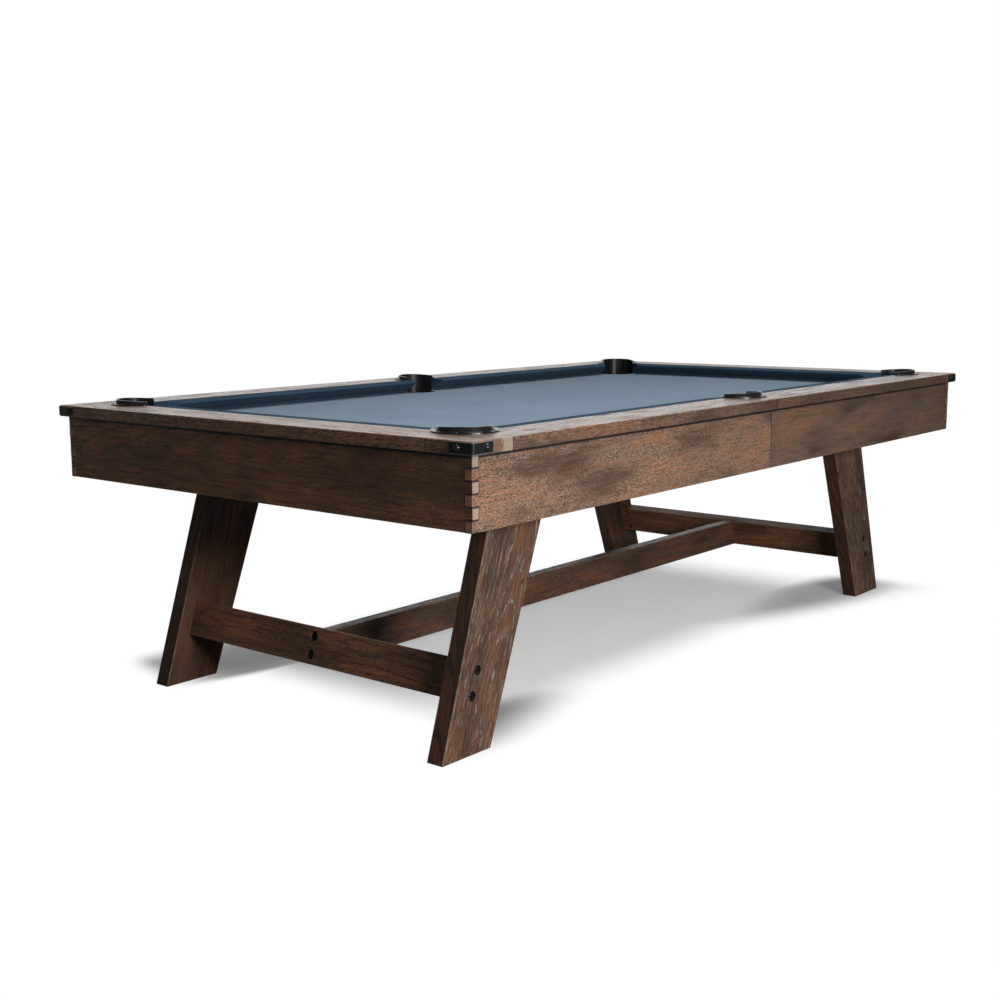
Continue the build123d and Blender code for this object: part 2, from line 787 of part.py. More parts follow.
with BuildPart() as corner_straps:
    for sx in ENDS.values():
        for sy in SIDES.values():
            with BuildSketch(Plane.XY.offset(strap_z)) as strap_plan:
                Polygon(
                    (sx * (table_x - strap_length), sy * table_y),
                    (sx * (table_x - strap_length), sy * (table_y + strap_thickness)),
                    (sx * (table_x + strap_thickness), sy * (table_y + strap_thickness)),
                    (sx * (table_x + strap_thickness), sy * (table_y - strap_length)),
                    (sx * table_x, sy * (table_y - strap_length)),
                    (sx * table_x, sy * table_y),
                    align=None,
                )
                inner_round = rail_corner_round - strap_gap
                fillet(strap_plan.vertices().sort_by_distance((sx * table_x, sy * table_y))[0], inner_round)
                tip = (sx * (table_x + strap_thickness), sy * (table_y + strap_thickness))
                fillet(strap_plan.vertices().sort_by_distance(tip)[0], inner_round + strap_thickness)
            extrude(amount=strap_height / 2, both=True)
            with Locations(*strap_places(sx, sy)):
                Hole(strap_bolt_hole / 2, strap_thickness + cut_over)
keep(corner_straps, "corner_straps")

strap_bolt = domed_pin(strap_bolt_head, strap_bolt_head_height, strap_bolt_shank, strap_bolt_length)
with BuildPart() as strap_bolts:
    with Locations(*(place for sx, sy in corners for place in strap_places(sx, sy))):
        add(strap_bolt)
keep(strap_bolts, "strap_bolts")

# Rail bolts, each with its washer under the slate
with BuildPart() as rail_bolts:
    washer_low = slate_under - rail_bolt_washer_thickness
    with Locations(*rail_bolt_spots):
        bar(rail_bolt_shank, slate_under, bed_height + rail_bolt_bite)
        bar(rail_bolt_washer, washer_low, slate_under)
    with BuildSketch(Plane.XY.offset(washer_low)):
        with Locations(*rail_bolt_spots):
            RegularPolygon(rail_bolt_head / 2, 6, major_radius=False)
    extrude(amount=-rail_bolt_head_height)
keep(rail_bolts, "rail_bolts")


def bucket_outline():
    """Half section of the bucket: radius along local X, height along local Y."""
    outer = pocket_radius + pocket_wall
    inner_round = bucket_round - pocket_wall
    floor = bucket_bottom + pocket_wall
    Polyline((0, floor), (0, bucket_bottom), (outer - bucket_round, bucket_bottom))
    RadiusArc((outer - bucket_round, bucket_bottom), (outer, bucket_bottom + bucket_round), -bucket_round)
    Polyline(
        (outer, bucket_bottom + bucket_round),
        (outer, bucket_rim),
        (pocket_radius, bucket_rim),
        (pocket_radius, floor + inner_round),
    )
    RadiusArc((pocket_radius, floor + inner_round), (pocket_radius - inner_round, floor), inner_round)
    Line((pocket_radius - inner_round, floor), (0, floor))


def lip_outline(base, hand):
    """Section of the wall, lip and flange on one hand of the pocket, from a base height up."""
    top = rail_top + lip_rise
    under = rail_top + flange_gap
    outer = pocket_radius + pocket_wall
    Polyline(
        (hand * pocket_radius, base),
        (hand * pocket_radius, top),
        (hand * outer, top),
        (hand * (outer + lip_spread), under + flange_edge + flange_slope),
        (hand * flange_radius, under + flange_edge),
        (hand * flange_radius, under),
        (hand * outer, under),
        (hand * outer, base),
        close=True,
    )


def pocket_liner(arm):
    """One moulded pocket about the Z axis, with its mouth towards -X."""
    axis = Axis((0, 0, 0), (0, 0, -1))
    with BuildPart() as liner:
        with BuildSketch(Plane.YZ):
            with BuildLine():
                lip_outline(slate_under, 1)
            make_face()
        revolve(axis=axis, revolution_arc=180)
        for hand in (1, -1):
            with BuildSketch(Plane.YZ):
                with BuildLine():
                    lip_outline(bed_height + flange_gap, hand)
                make_face()
            extrude(amount=-arm)
        with BuildSketch(Plane.XY.offset(bed_height)) as plan:
            with Locations((-arm / 2, 0)):
                Rectangle(arm, 2 * flange_radius)
            fillet(plan.vertices().group_by(Axis.X)[0], min(flange_tip_round, arm - flange_gap))
            Circle(flange_radius)
        extrude(amount=rail_rise + 2 * lip_rise, both=True, mode=Mode.INTERSECT)
        # The lip is highest at the back and falls towards the mouth
        with BuildSketch(Plane.XZ):
            Polygon(
                (pocket_radius + pocket_wall, rail_top + lip_rise),
                (-arm, rail_top + lip_rise - lip_fall),
                (-arm, rail_top + 2 * lip_rise),
                (pocket_radius + pocket_wall, rail_top + 2 * lip_rise),
                align=None,
            )
        extrude(amount=flange_radius, both=True, mode=Mode.SUBTRACT)
        fillet(liner.faces().sort_by(Axis.Z)[-1].edges(), lip_round)
        with BuildSketch(Plane.YZ):
            with BuildLine():
                bucket_outline()
            make_face()
        revolve(axis=axis)
        with Locations(Plane.XY.offset(rail_top + pocket_screw_seat)):
            with Locations(*screw_spots):
                bar(pocket_screw_hole, -pocket_screw_seat, 0, Mode.SUBTRACT)
                bar(pocket_head_hole, 0, lip_rise, Mode.SUBTRACT)
    return liner.part


# Pockets, each one moulded piece
liners = {arm: pocket_liner(arm) for arm in (corner_arm, side_arm)}
for name, pocket in pockets.items():
    with BuildPart() as liner:
        with Locations(pocket.spot):
            add(liners[pocket.arm])
    keep(liner, f"pocket_{name}")

pocket_screw_size = (pocket_screw_head, pocket_screw_head_height, pocket_screw_shank, pocket_screw_length)
pocket_screw = domed_pin(*pocket_screw_size)
with BuildPart() as pocket_screws:
    for pocket in pockets.values():
        with Locations(pocket.spot):
            with Locations(Plane.XY.offset(rail_top + pocket_screw_seat)):
                with Locations(*screw_spots):
                    add(pocket_screw)
keep(pocket_screws, "pocket_screws")
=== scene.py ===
"""Pool table: its cloth, cushions, finishes and studio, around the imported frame."""

import math

import bmesh
import bpy
from mathutils import Euler, Matrix, Vector


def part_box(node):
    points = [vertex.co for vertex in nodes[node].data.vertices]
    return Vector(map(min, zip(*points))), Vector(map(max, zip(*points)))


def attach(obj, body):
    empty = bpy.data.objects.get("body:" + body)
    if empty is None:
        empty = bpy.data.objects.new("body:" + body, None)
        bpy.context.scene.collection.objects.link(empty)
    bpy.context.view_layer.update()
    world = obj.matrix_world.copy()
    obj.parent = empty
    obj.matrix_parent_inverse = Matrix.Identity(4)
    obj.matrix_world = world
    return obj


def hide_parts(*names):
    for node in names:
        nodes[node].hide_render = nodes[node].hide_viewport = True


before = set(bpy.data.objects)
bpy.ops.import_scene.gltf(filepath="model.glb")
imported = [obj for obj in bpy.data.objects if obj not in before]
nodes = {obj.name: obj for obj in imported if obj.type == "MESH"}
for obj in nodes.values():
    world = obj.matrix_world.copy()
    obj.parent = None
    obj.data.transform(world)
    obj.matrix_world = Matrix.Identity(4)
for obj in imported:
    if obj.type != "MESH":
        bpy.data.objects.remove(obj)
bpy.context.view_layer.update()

ENDS = {"left": -1, "right": 1}
SIDES = {"front": -1, "rear": 1}
CORNERS = [(f"{side}_{end}", sx, sy) for end, sx in ENDS.items() for side, sy in SIDES.items()]

# Sizes the new pieces share with the frame, in metres
LEAN = math.radians(19.3)
LEG_HALF_LENGTH = 0.372
LEG_TOP_HALF = 0.1065
LEG_FOOT_HALF = 0.0865
LEG_FLARE = (LEG_TOP_HALF - LEG_FOOT_HALF) * math.cos(LEAN) / (2 * LEG_HALF_LENGTH)
NOSE_X = 1.1175
NOSE_Y = 0.559
BED = 0.733
RAIL_RISE = 0.041
CUSHION_WIDTH = 0.048
CLOTH_EDGE = 0.054
POCKET_RADIUS = 0.057
POCKET_HOLE = 0.0626
CORNER_SETBACK = 0.037
CORNER_SHIFT = CORNER_SETBACK / math.sqrt(2)
CORNER_MOUTH = 0.130
SIDE_SETBACK = 0.057
SIDE_MOUTH = 0.128


# Shader building

class Wire:
    """A shader socket that takes part in Python expressions as a number."""

    def __init__(self, paint, socket):
        self.paint = paint
        self.socket = socket

    def math(self, operation, *others):
        inputs = dict(enumerate((self, *others)))
        return self.paint.node("ShaderNodeMath", {"operation": operation}, inputs)

    def __add__(self, other):
        return self.math("ADD", other)

    __radd__ = __add__

    def __sub__(self, other):
        return self.math("SUBTRACT", other)

    def __rsub__(self, other):
        return (self * -1) + other

    def __mul__(self, other):
        return self.math("MULTIPLY", other)

    __rmul__ = __mul__

    def __abs__(self):
        return self.math("ABSOLUTE")

    def between(self, low, high):
        """0 below low, 1 above high and smooth between; low may be the larger."""
        ends = {"From Min": low, "From Max": high}
        return self.paint.node(
            "ShaderNodeMapRange", {"interpolation_type": "SMOOTHSTEP"}, {"Value": self, **ends}
        )


class Paint:
    """One material and its nodes."""

    def __init__(self, name, tree=None):
        if tree is None:
            self.material = bpy.data.materials.new(name)
            self.material.use_nodes = True
            tree = self.material.node_tree
        self.tree = tree
        self.shader = tree.nodes.get("Principled BSDF")

    def node(self, kind, settings=None, inputs=None, output=0):
        """Add a node, with its settings first and then its inputs, and wrap one of its outputs."""
        made = self.tree.nodes.new(kind)
        for key, value in (settings or {}).items():
            if key == "stops":
                while len(made.color_ramp.elements) < len(value):
                    made.color_ramp.elements.new(1.0)
                for element, (place, shade) in zip(made.color_ramp.elements, value):
                    element.position = place
                    element.color = (shade, shade, shade, 1.0)
            else:
                setattr(made, key, value)
        for key, value in (inputs or {}).items():
            self.plug(made.inputs[key], value)
        return Wire(self, made.outputs[output])

    def plug(self, socket, value):
        """Link a wire to a socket, or set the socket to a number or a colour."""
        if isinstance(value, Wire):
            self.tree.links.new(value.socket, socket)
        elif isinstance(value, tuple) and socket.type == "RGBA" and len(value) == 3:
            socket.default_value = (*value, 1.0)
        else:
            socket.default_value = value

    def surface(self, **inputs):
        """Set the sockets of the surface shader, named with underscores for spaces."""
        for key, value in inputs.items():
            self.plug(self.shader.inputs[key.replace("_", " ")], value)
        return self.material

    def place(self, turn=(0.0, 0.0, 0.0), shift=(0.0, 0.0, 0.0)):
        """Object coordinates, turned and then shifted."""
        point = self.node("ShaderNodeTexCoord", output="Object")
        return self.node("ShaderNodeMapping", {}, {"Vector": point, "Rotation": turn, "Location": shift})

    def stretch(self, point, scale, seed=0.0):
        """A point scaled by axis, and moved to another part of the pattern by its seed."""
        scaled = self.node("ShaderNodeVectorMath", {"operation": "MULTIPLY"}, {0: point, 1: scale})
        offset = (seed * 17.3, seed * 9.1, seed * 5.7)
        return self.node("ShaderNodeVectorMath", {"operation": "ADD"}, {0: scaled, 1: offset})

    def noise(self, point, detail=2.0, roughness=0.5, scale=1.0, output=0):
        """Soft noise at a point: its height as output 0, or three of them as output 1."""
        inputs = {"Vector": point, "Scale": scale, "Detail": detail, "Roughness": roughness}
        return self.node("ShaderNodeTexNoise", {}, inputs, output)

    def axes(self, point):
        """The three coordinates of a point."""
        apart = self.node("ShaderNodeSeparateXYZ", {}, {"Vector": point}).socket.node
        return [Wire(self, socket) for socket in apart.outputs]

    def mix(self, factor, first, second):
        """Blend two colours."""
        settings = {"data_type": "RGBA", "clamp_factor": True}
        return self.node("ShaderNodeMix", settings, {0: factor, 6: first, 7: second}, 2)

    def bump(self, height, strength, distance):
        """A normal roughened by a height."""
        inputs = {"Height": height, "Strength": strength, "Distance": distance}
        return self.node("ShaderNodeBump", {}, inputs)


def dress(node, material):
    """Give a CAD node one material."""
    mesh = nodes[node].data
    mesh.materials.clear()
    mesh.materials.append(material)


def local_box(node, turn):
    """Middle and half size of a node's box in turned axes."""
    rotation = Euler(turn).to_matrix()
    points = [rotation @ vertex.co for vertex in nodes[node].data.vertices]
    low = Vector(min(p[i] for p in points) for i in range(3))
    high = Vector(max(p[i] for p in points) for i in range(3))
    return (low + high) / 2, (high - low) / 2


# Stained and brushed wood, one material a board

WOOD_SHADOW = (0.006, 0.004, 0.003)
WOOD_DARK = (0.021, 0.011, 0.007)
WOOD_BROWN = (0.105, 0.045, 0.022)
WOOD_WARM = (0.270, 0.100, 0.037)
WOOD_PALE = (0.54, 0.43, 0.33)
WOOD_RUBBED = (0.32, 0.205, 0.14)
WOOD_WORN = (0.47, 0.40, 0.32)
END_GRAIN = (0.46, 0.345, 0.26)
# End grain darker and redder for ends that lie in shade: painted shade
END_GRAIN_PAINTED_SHADE = (0.30, 0.145, 0.085)
FINGER_DEPTH = 0.0208
APRON_HEIGHT = 0.165
FINGER_ROWS = 6
FINGER_PITCH = APRON_HEIGHT / FINGER_ROWS

# How closely the wood's marks follow each other along, across and up the board, in a metre
RING_WANDER = (1.9, 5.0, 5.0)
STREAKS = (6.0, 105.0, 105.0)
PORE_FINENESS = 620.0
DASH_FINENESS = 600.0
CLOUDS = (3.4, 13.0, 13.0)
SCORES = (13.0, 360.0, 360.0)
WANDER_REACH = 0.06
EARLY_WOOD = ((0.0, 0.0), (0.05, 1.0), (0.19, 0.45), (0.45, 0.0))

# Distances from a face, edge or end over which a mark comes in, in metres
WIDE_FACE = (0.0040, 0.0010)
RUBBED_EDGE = (0.0034, 0.0004)
PAINTED_RAIL_SHADOW_BAND = (0.0086, 0.0074)
END_FACE = (0.0024, 0.0010)
MEETING_LINE = (0.0022, 0.0006)
FINGER_LINE = (0.0032, 0.0014)
FINGER_ROOT = (0.0036, 0.0014)
FINGER_END = 0.0012
WORN_FACE = (0.004, 0.0015)
PAINTED_BORE_SHADE = (0.0012, 0.0026)
EDGE_WAVER = 0.006
PATCH_WAVER = (0.080, 0.060)


def stained_wood(
    node, turn, heart, seed, rings=110.0, sway=(0.04, 0.02), flare=0.0, shade=1.0, veins=0.25,
    specks=0.30, fleck=60.0, gloss=0.10, ends=(0.0, 0.0), tip=END_GRAIN, sockets=None, patch=None,
    painted_rail_shadow=False, bare_sides_painted_shade=False,
):
    """Brushed dark wood whose rings, pores and pale filler run along the board's turned X axis.

    flare widens the board towards its far end, veins and specks are how much pale filler lies in its
    rings and between them, fleck is how many of its dashes and pores follow each other in a metre,
    gloss is its coat of lacquer, ends are how much its two end grains show, in the colour tip,
    sockets is 0 or 1 for the finger rows that are cut away, patch is a worn stretch across it, shade
    darkens the whole board as its own tone and, on boards that lie in shade, as painted shade,
    painted_rail_shadow paints the rail's shadow as a dark band along its top edge, and
    bare_sides_painted_shade leaves its narrow sides unfilled and darkens them with painted shade."""
    paint = Paint(f"wood_{node}")
    middle, half = local_box(node, turn)
    point = paint.place(turn, tuple(-middle))
    along, across, up = paint.axes(point)

    # Growth rings about a heart that wanders along the board
    wander = paint.noise(paint.stretch(point, RING_WANDER, seed), 3.0, 0.5, output=1)
    wander_a, wander_b, tone = paint.axes(wander)
    off_a = across - heart[0] + along * sway[0] + (wander_a - 0.5) * WANDER_REACH
    off_b = up - heart[1] + along * sway[1] + (wander_b - 0.5) * WANDER_REACH
    radius = (off_a * off_a + off_b * off_b).math("SQRT")
    ring = (radius * rings + tone * 1.5).math("FRACT")
    early = paint.node("ShaderNodeValToRGB", {"stops": EARLY_WOOD}, {"Fac": ring})

    # Streaks, open pores and dashes of pale filler
    fine_pores = (fleck, PORE_FINENESS, PORE_FINENESS)
    fine_dashes = (fleck, DASH_FINENESS, DASH_FINENESS)
    streak = paint.noise(paint.stretch(point, STREAKS, seed + 1), 3.0, 0.62)
    pores = paint.noise(paint.stretch(point, fine_pores, seed + 2), 3.0, 0.65).between(0.48, 0.60)
    dashes = paint.noise(paint.stretch(point, fine_dashes, seed + 3), 3.0, 0.68)
    cloud = paint.noise(paint.stretch(point, CLOUDS, seed + 4), 3.0, 0.55)
    scores = paint.noise(paint.stretch(point, SCORES, seed + 5), 2.0, 0.6)

    warm = (1 - early) * cloud.between(0.32, 0.62)
    dark = streak.between(0.52, 0.30) * 0.50 + tone.between(0.50, 0.34) * 0.30
    filler = dashes.between(0.48, 0.57) * (early * veins + specks) * cloud.between(0.22, 0.50)

    # Distance to each pair of faces
    reach = half[2] - (LEG_HALF_LENGTH - along) * flare
    gaps = (half[0] - abs(along), half[1] - abs(across), reach - abs(up))
    wide_face = gaps[1].between(*WIDE_FACE)
    if bare_sides_painted_shade:
        filler = filler * wide_face

    colour = paint.mix(warm, WOOD_BROWN, WOOD_WARM)
    colour = paint.mix(dark, colour, WOOD_DARK)
    colour = paint.mix(scores.between(0.52, 0.36) * 0.6 + early * (veins * 0.75), colour, WOOD_DARK)
    colour = paint.mix(pores * (0.45 + early * 0.3), colour, WOOD_DARK)
    colour = paint.mix(filler * 0.95, colour, WOOD_PALE)
    # The whole board darker by its shade: partly its own tone, partly painted shade on boards that lie in
    # shade
    colour = paint.mix(1.0 - shade, colour, WOOD_DARK)
    # Painted shade darkens the narrow sides
    if bare_sides_painted_shade:
        colour = paint.mix((1 - wide_face) * 0.45, colour, WOOD_DARK)

    # Rubbed edges along the board: the larger of the two distances to its sides is the one to an edge
    to_edge = gaps[1].math("MAXIMUM", gaps[2]) + (streak - 0.5) * EDGE_WAVER
    rubbed = to_edge.between(*RUBBED_EDGE)
    colour = paint.mix(rubbed * dashes.between(0.36, 0.60) * 0.55, colour, WOOD_RUBBED)
    below_top = half[2] - up
    # Painted shadow: a dark band along the top edge, where the rail's overhang shades it
    if painted_rail_shadow:
        colour = paint.mix(below_top.between(*PAINTED_RAIL_SHADOW_BAND) * 0.97, colour, WOOD_SHADOW)

    # Ends: pale end grain where it shows, a dark line where the board meets another one
    for number, pale in enumerate(ends):
        gap = half[0] + along * (1 - 2 * number)
        if pale:
            grain = gap.between(*END_FACE) * (dashes.between(0.35, 0.65) * 0.6 + 0.4)
            colour = paint.mix(grain * pale, colour, tip)
        else:
            colour = paint.mix(gap.between(*MEETING_LINE) * 0.8, colour, WOOD_DARK)
        if pale and sockets is not None:
            row = below_top * (1 / FINGER_PITCH)
            to_row = abs((row + 0.5).math("FRACT") - 0.5) * FINGER_PITCH
            odd = (row * 0.5).math("FRACT").math("GREATER_THAN", 0.5)
            cut_row = odd if sockets else 1 - odd
            on_finger = gap.between(FINGER_DEPTH + FINGER_END, FINGER_DEPTH)
            joints = to_row.between(*FINGER_LINE) * on_finger
            root = (gap - FINGER_DEPTH).between(*FINGER_ROOT) * cut_row
            colour = paint.mix(joints.math("MAXIMUM", root) * 0.95, colour, WOOD_DARK)
    if patch:
        ragged = across + (streak - 0.5) * PATCH_WAVER[0] + (dashes - 0.5) * PATCH_WAVER[1]
        spread = ragged.between(*patch)
        worn = gaps[0].between(*WORN_FACE) * spread * (dashes.between(0.40, 0.60) * 0.70 + 0.05)
        colour = paint.mix(worn, colour, WOOD_WORN)

    # Painted shade inside bores and cuts: dark where the surface lies more than a few millimetres inside
    # the board's box
    depth = gaps[0].math("MINIMUM", gaps[1]).math("MINIMUM", gaps[2])
    colour = paint.mix(depth.between(*PAINTED_BORE_SHADE) * 0.94, colour, WOOD_DARK)

    dull = streak.between(0.50, 0.38).math("MAXIMUM", scores.between(0.46, 0.36))
    height = (pores * -1.0) + (early * streak) * -0.7 + filler * 0.3
    rough = 0.30 + pores * 0.30 + early * 0.08 + dull * 0.20
    return paint.surface(
        Base_Color=colour,
        Roughness=rough,
        Specular_IOR_Level=0.45,
        Coat_Weight=(1 - pores * 0.4) * (1 - dull) * gloss,
        Coat_Roughness=0.24,
        Normal=paint.bump(height, 0.55, 0.0006),
    )


ALONG = (0.0, 0.0, 0.0)
ACROSS = (0.0, 0.0, math.radians(-90))
LEG_TURNS = {name: (0.0, math.radians(90) + sx * LEAN, 0.0) for name, sx, _ in CORNERS}
# Shades of the boards: their own tones, and painted shade on the right end's boards and the rear legs,
# which lie in shade; the rear legs' scant pale filler is painted shade as well
SIDE_TONE_AND_PAINTED_SHADE = {"left": 0.88, "right": 0.64}
LEG_TONE_AND_PAINTED_SHADE = {"front_left": 0.68, "rear_left": 0.60, "front_right": 0.66, "rear_right": 0.55}
LEG_FILLERS = {"front": (1.0, 0.12), "rear": (0.10, 0.0)}
LEG_FLECK = 30.0
APRON_FLECK = 190.0
RAIL_GLOSSES = {"side": 0.95, "end": 0.70}
RAIL_SHADES = {"side": 0.72, "end": 0.80}
STRETCHER_SHADE = 0.62
WORN_PATCH = (-0.024, -0.036)
SEED_STEP = 3.0
END_SEED = 40.0
CENTRE_SEED = 61.0

for number, (name, sx, sy) in enumerate(CORNERS):
    seed = SEED_STEP * number
    side, end = name.split("_")
    shade = SIDE_TONE_AND_PAINTED_SHADE[end]
    leg_heart = (-sy * 0.055, -0.035 - 0.006 * number)
    leg_wood = stained_wood(
        f"leg_{name}", LEG_TURNS[name], leg_heart, seed + 0.9, 105.0, (sy * 0.07, 0.04), LEG_FLARE,
        LEG_TONE_AND_PAINTED_SHADE[name], *LEG_FILLERS[side], LEG_FLECK, bare_sides_painted_shade=True,
    )
    dress(f"leg_{name}", leg_wood)
    apron_wood = stained_wood(
        f"apron_{name}", ALONG, (-sy * 0.075, 0.03 - 0.015 * number), seed + 1.1, 120.0, (sx * 0.05, 0.03),
        shade=shade, veins=0.14, specks=0.46, fleck=APRON_FLECK, ends=(0.7, 0.0) if sx < 0 else (0.0, 0.7),
        tip=END_GRAIN_PAINTED_SHADE, sockets=0, painted_rail_shadow=True,
    )
    dress(f"apron_{name}", apron_wood)
    rail_wood = stained_wood(
        f"rail_{name}", ALONG, (0.02 * sy, -0.06), seed + 2.3, 110.0, (0.01, sx * 0.04),
        shade=shade * RAIL_SHADES["side"], gloss=RAIL_GLOSSES["side"],
    )
    dress(f"rail_{name}", rail_wood)
    block_wood = stained_wood(
        f"corner_block_{name}", ACROSS, (0.02, -0.05), seed + 3.7, 110.0, (0.02, 0.03),
        shade=RAIL_SHADES["side"], gloss=RAIL_GLOSSES["end"], ends=(),
        patch=WORN_PATCH if sx < 0 else None,
    )
    dress(f"corner_block_{name}", block_wood)
for number, (name, sx) in enumerate(ENDS.items()):
    seed = END_SEED + SEED_STEP * number
    apron_wood = stained_wood(
        f"apron_{name}", ACROSS, (sx * 0.08, 0.02), seed, 90.0, (0.05, 0.03), veins=0.1, specks=0.1,
        fleck=APRON_FLECK, ends=(0.8, 0.8), tip=END_GRAIN if sx < 0 else END_GRAIN_PAINTED_SHADE, sockets=1, painted_rail_shadow=True,
    )
    dress(f"apron_{name}", apron_wood)
    rail_wood = stained_wood(
        f"rail_{name}", ACROSS, (0.01, -0.06), seed + 1.2, 100.0, (0.02, 0.04), shade=RAIL_SHADES["end"],
        gloss=RAIL_GLOSSES["end"],
    )
    dress(f"rail_{name}", rail_wood)
    tilt = (0.0, sx * LEAN, math.radians(-90))
    stretcher_wood = stained_wood(
        f"end_stretcher_{name}", tilt, (sx * 0.05, 0.015), seed + 2.1, 100.0, (0.04, 0.02), veins=0.1,
        specks=0.1,
    )
    dress(f"end_stretcher_{name}", stretcher_wood)
centre_wood = stained_wood(
    "centre_stretcher", ALONG, (0.06, 0.01), CENTRE_SEED, 80.0, (0.03, 0.02), shade=STRETCHER_SHADE,
    specks=0.15,
)
dress("centre_stretcher", centre_wood)


# Plain finishes of the pieces inside and underneath

def planed_wood():
    """Pale, unfinished softwood of the frame inside."""
    paint = Paint("planed_frame_wood")
    point = paint.place()
    grain = paint.noise(paint.stretch(point, (9.0, 9.0, 70.0)), 3.0, 0.6)
    knots = paint.noise(paint.stretch(point, (5.0, 5.0, 9.0), 2.0), 2.0)
    colour = paint.mix(grain, (0.36, 0.23, 0.125), (0.52, 0.37, 0.22))
    colour = paint.mix(knots.between(0.62, 0.78) * 0.6, colour, (0.24, 0.13, 0.06))
    return paint.surface(
        Base_Color=colour,
        Roughness=0.62 + grain * 0.15,
        Specular_IOR_Level=0.3,
        Normal=paint.bump(grain, 0.3, 0.0006),
    )


def honed_slate():
    """Grey slate with faint beds and saw marks."""
    paint = Paint("honed_slate")
    point = paint.place()
    beds = paint.noise(paint.stretch(point, (3.0, 7.0, 160.0)), 4.0, 0.55)
    grit = paint.noise(point, 3.0, 0.6, scale=420.0)
    colour = paint.mix(beds, (0.070, 0.074, 0.082), (0.150, 0.156, 0.166))
    colour = paint.mix(grit.between(0.55, 0.72) * 0.4, colour, (0.20, 0.205, 0.215))
    return paint.surface(
        Base_Color=colour, Roughness=0.55 + grit * 0.2, Normal=paint.bump(grit, 0.25, 0.0004)
    )


def moulded_black():
    """Glossy black moulding of the pockets, with dust and fine scuffs."""
    paint = Paint("moulded_black")
    point = paint.place()
    orange_peel = paint.noise(point, 2.0, 0.5, scale=330.0)
    scuffs = paint.noise(paint.stretch(point, (60.0, 700.0, 240.0)), 2.0, 0.6).between(0.60, 0.74)
    dust = paint.noise(point, 4.0, 0.6, scale=24.0)
    colour = paint.mix(dust.between(0.45, 0.8) * 0.5, (0.006, 0.006, 0.007), (0.020, 0.020, 0.022))
    return paint.surface(
        Base_Color=colour,
        Roughness=0.17 + scuffs * 0.22 + dust * 0.08,
        Normal=paint.bump(orange_peel, 0.06, 0.0006),
    )


def black_steel(name, roughness, rims=()):
    """Black coated steel, rubbed a little brighter in places and along rims at these heights."""
    paint = Paint(name)
    point = paint.place()
    skin = paint.noise(point, 3.0, 0.6, scale=150.0)
    worn = paint.noise(point, 4.0, 0.65, scale=46.0).between(0.56, 0.75)
    colour = paint.mix(worn * 0.7, (0.016, 0.017, 0.019), (0.060, 0.064, 0.070))
    for rim in rims:
        near_rim = abs(paint.axes(point)[2] - rim).between(0.0016, 0.0003) * (skin * 0.8 + 0.2)
        colour = paint.mix(near_rim, colour, (0.30, 0.31, 0.33))
    return paint.surface(
        Base_Color=colour,
        Metallic=0.55 + worn * 0.3,
        Roughness=roughness + skin * 0.22,
        Normal=paint.bump(skin, 0.35, 0.0007),
    )


def bright_metal(name, base, tarnish, roughness):
    """Plated or turned metal with a clouded surface."""
    paint = Paint(name)
    point = paint.place()
    cloud = paint.noise(point, 4.0, 0.6, scale=65.0)
    marks = paint.noise(paint.stretch(point, (40.0, 40.0, 900.0)), 2.0, 0.5)
    colour = paint.mix(cloud.between(0.4, 0.75) * 0.7, base, tarnish)
    return paint.surface(
        Base_Color=colour,
        Metallic=1.0,
        Roughness=roughness + cloud * 0.2,
        Normal=paint.bump(marks, 0.15, 0.0003),
    )


frame_wood = planed_wood()
slate_stone = honed_slate()
pocket_black = moulded_black()
metal_black = black_steel("black_steel", 0.34)
dome_black = black_steel("dome_steel", 0.12)
strap_black = black_steel("strap_steel", 0.26, [corner.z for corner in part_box("corner_straps")])
plated = bright_metal("zinc_plate", (0.56, 0.57, 0.58), (0.36, 0.37, 0.36), 0.30)
brass = bright_metal("turned_brass", (0.62, 0.44, 0.17), (0.34, 0.22, 0.09), 0.28)

for node in ("long_beam_front", "long_beam_rear", "apron_splices", "feather_strips"):
    dress(node, frame_wood)
for number in range(1, 5):
    dress(f"cross_beam_{number}", frame_wood)
for name in ("left", "centre", "right"):
    dress(f"slate_{name}", slate_stone)
for node in nodes:
    if node.startswith("pocket_") and node != "pocket_screws":
        dress(node, pocket_black)
    if node.startswith("leveller_") and node != "leveller_inserts":
        dress(node, metal_black)
for node in ("stretcher_bolts", "pocket_screws"):
    dress(node, metal_black)
dress("corner_straps", strap_black)
dress("strap_bolts", dome_black)
for node in ("leg_bolts", "rail_bolts", "barrel_nuts"):
    dress(node, plated)
dress("leveller_inserts", brass)


# Cloth

TWILL_RIB = 0.0011
CLOTH_THICKNESS = 0.0008
RIM_SEGMENTS = 72
# Radius and drop of the cloth as it is drawn down round the inner side of a pocket hole
POCKET_ROLL = ((0.0612, 0.00015), (0.0596, 0.0007), (0.0584, 0.0016))
INNER_SIDE = -0.004


